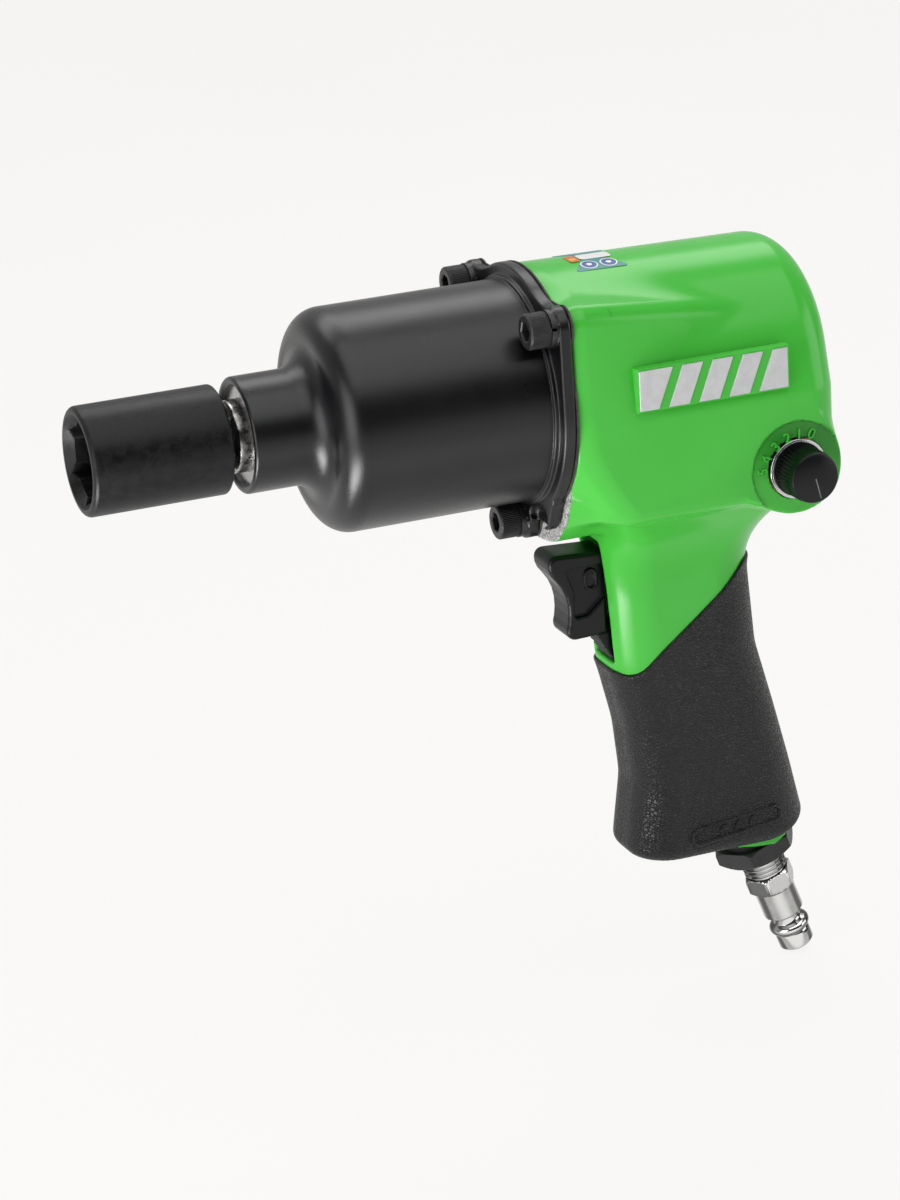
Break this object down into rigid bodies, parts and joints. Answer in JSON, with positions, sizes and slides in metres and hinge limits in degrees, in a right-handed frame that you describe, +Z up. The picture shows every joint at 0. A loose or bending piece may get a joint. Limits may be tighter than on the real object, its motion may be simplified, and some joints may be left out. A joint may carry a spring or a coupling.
{
  "type": "pneumatic impact wrench",
  "caption": "Pistol-grip pneumatic impact wrench: stepped hammer case with a square drive and socket, painted housing, trigger, power regulator, rubber grip and air plug.",
  "frame": {"origin": "on the drive axis, at the front face of the hammer case's nose", "axes": "-X out of the square drive, +X towards the rear of the housing, +Z up from the handle through the barrel, -Y towards the side with the regulator knob"},
  "size_m": [0.2116, 0.0883, 0.2209],
  "materials": {
    "socket_black": "black phosphate on forged steel, matte and slightly mottled",
    "tool_steel": "ground and lightly polished steel",
    "anvil_steel": "bright ground steel with turning marks",
    "hardened_steel": "hardened steel, dark grey",
    "bearing_steel": "polished bearing steel",
    "case_black": "satin black coating on steel",
    "screw_black": "black oxide, lightly oiled",
    "gasket_paper": "fibre gasket",
    "housing_green": "die-cast aluminium, glossy green paint",
    "bare_aluminium": "face-milled aluminium",
    "label_film": "printed plastic film with plain coloured shapes",
    "bronze": "sintered bronze",
    "brass": "turned brass",
    "vane_plastic": "fibre-reinforced phenolic",
    "seal_rubber": "nitrile rubber",
    "plastic_black": "satin moulded plastic",
    "plug_nickel": "nickel-plated steel",
    "screen_wire": "fine stainless mesh",
    "silencer_felt": "porous felt",
    "grip_rubber": "black rubber with a fine leather grain",
    "spring_steel": "spring wire"
  },
  "bodies": {
    "tool_body": {"anvil_bushing": "tool_steel", "anvil_thrust_washer": "hardened_steel", "hammer_case": "case_black", "case_screws": "screw_black", "case_lock_washers": "screw_black", "case_gasket": "gasket_paper", "front_end_plate": "tool_steel", "front_bearing_outer_ring": "bearing_steel", "cylinder_liner": "tool_steel", "cylinder_dowel": "tool_steel", "rear_end_plate": "tool_steel", "rear_bearing_outer_ring": "bearing_steel", "housing": "housing_green", "side_badge": "bare_aluminium", "top_label": "label_film", "valve_sleeve": "brass", "regulator_clip": "spring_steel", "reverse_clip": "spring_steel", "trigger_bushing": "bronze", "trigger_seal": "seal_rubber", "throttle_seat": "brass", "throttle_spring": "spring_steel", "inlet_bushing": "screw_black", "inlet_screen": "screen_wire", "air_plug": "plug_nickel", "exhaust_silencer": "silencer_felt", "exhaust_cover": "plastic_black", "grip_sleeve": "grip_rubber"},
    "rotor_assembly": {"rotor": "tool_steel", "rotor_vanes": "vane_plastic", "front_bearing_inner_ring": "bearing_steel", "rear_bearing_inner_ring": "bearing_steel", "hammer_cage": "hardened_steel", "hammer_pins": "tool_steel"},
    "front_ball_set": {"front_bearing_balls": "bearing_steel"},
    "rear_ball_set": {"rear_bearing_balls": "bearing_steel"},
    "front_hammer_body": {"front_hammer": "hardened_steel"},
    "rear_hammer_body": {"rear_hammer": "hardened_steel"},
    "anvil_body": {"anvil": "anvil_steel", "socket_retaining_ring": "spring_steel", "retaining_ring_seal": "seal_rubber"},
    "socket_body": {"impact_socket": "socket_black"},
    "trigger_body": {"trigger": "plastic_black", "trigger_pin": "tool_steel"},
    "throttle_body": {"throttle_valve": "brass"},
    "regulator_body": {"regulator_knob": "plastic_black", "regulator_spool": "brass", "regulator_seal": "seal_rubber", "detent_ball": "bearing_steel", "detent_spring": "spring_steel"},
    "reverse_body": {"reverse_lever": "plastic_black", "reverse_spool": "brass", "reverse_seal": "seal_rubber", "lever_screw": "tool_steel"}
  },
  "joints": [
    {"name": "rotor_spin", "type": "hinge", "parent": "tool_body", "child": "rotor_assembly", "pos_m": [0, 0, 0], "axis": [1, 0, 0], "continuous": true},
    {"name": "front_ball_spin", "type": "hinge", "parent": "tool_body", "child": "front_ball_set", "pos_m": [0, 0, 0], "axis": [1, 0, 0], "continuous": true},
    {"name": "rear_ball_spin", "type": "hinge", "parent": "tool_body", "child": "rear_ball_set", "pos_m": [0, 0, 0], "axis": [1, 0, 0], "continuous": true},
    {"name": "front_hammer_rock", "type": "hinge", "parent": "rotor_assembly", "child": "front_hammer_body", "pos_m": [0.0425, 0, 0.02075], "axis": [1, 0, 0], "range_deg": [-4.5, 4.5]},
    {"name": "rear_hammer_rock", "type": "hinge", "parent": "rotor_assembly", "child": "rear_hammer_body", "pos_m": [0.0603, 0, -0.02075], "axis": [1, 0, 0], "range_deg": [-4.5, 4.5]},
    {"name": "anvil_spin", "type": "hinge", "parent": "tool_body", "child": "anvil_body", "pos_m": [0, 0, 0], "axis": [1, 0, 0], "continuous": true},
    {"name": "socket_slide", "type": "slide", "parent": "anvil_body", "child": "socket_body", "axis": [-1, 0, 0], "range_m": [0, 0.02]},
    {"name": "trigger_pull", "type": "slide", "parent": "tool_body", "child": "trigger_body", "axis": [1, 0, 0], "range_m": [0, 0.006], "stiffness_N_per_m": 300, "springref_m": -0.003},
    {"name": "throttle_tilt", "type": "hinge", "parent": "tool_body", "child": "throttle_body", "pos_m": [0.11916, 0, -0.08815], "axis": [0, 1, 0], "range_deg": [0, 10.9], "deforming": ["throttle_spring"]},
    {"name": "regulator_turn", "type": "hinge", "parent": "tool_body", "child": "regulator_body", "pos_m": [0.1498, 0, -0.0249], "axis": [0, -1, 0], "range_deg": [-200, 0]},
    {"name": "reverse_turn", "type": "hinge", "parent": "tool_body", "child": "reverse_body", "pos_m": [0.1498, 0, -0.0249], "axis": [0, 1, 0], "range_deg": [0, 90]}
  ],
  "couplings": [
    {"joint": "front_ball_spin", "follows": "rotor_spin", "ratio": 0.38},
    {"joint": "rear_ball_spin", "follows": "rotor_spin", "ratio": 0.3667},
    {"joint": "throttle_tilt", "follows": "trigger_pull", "rad_per_m": 31.4}
  ]
}
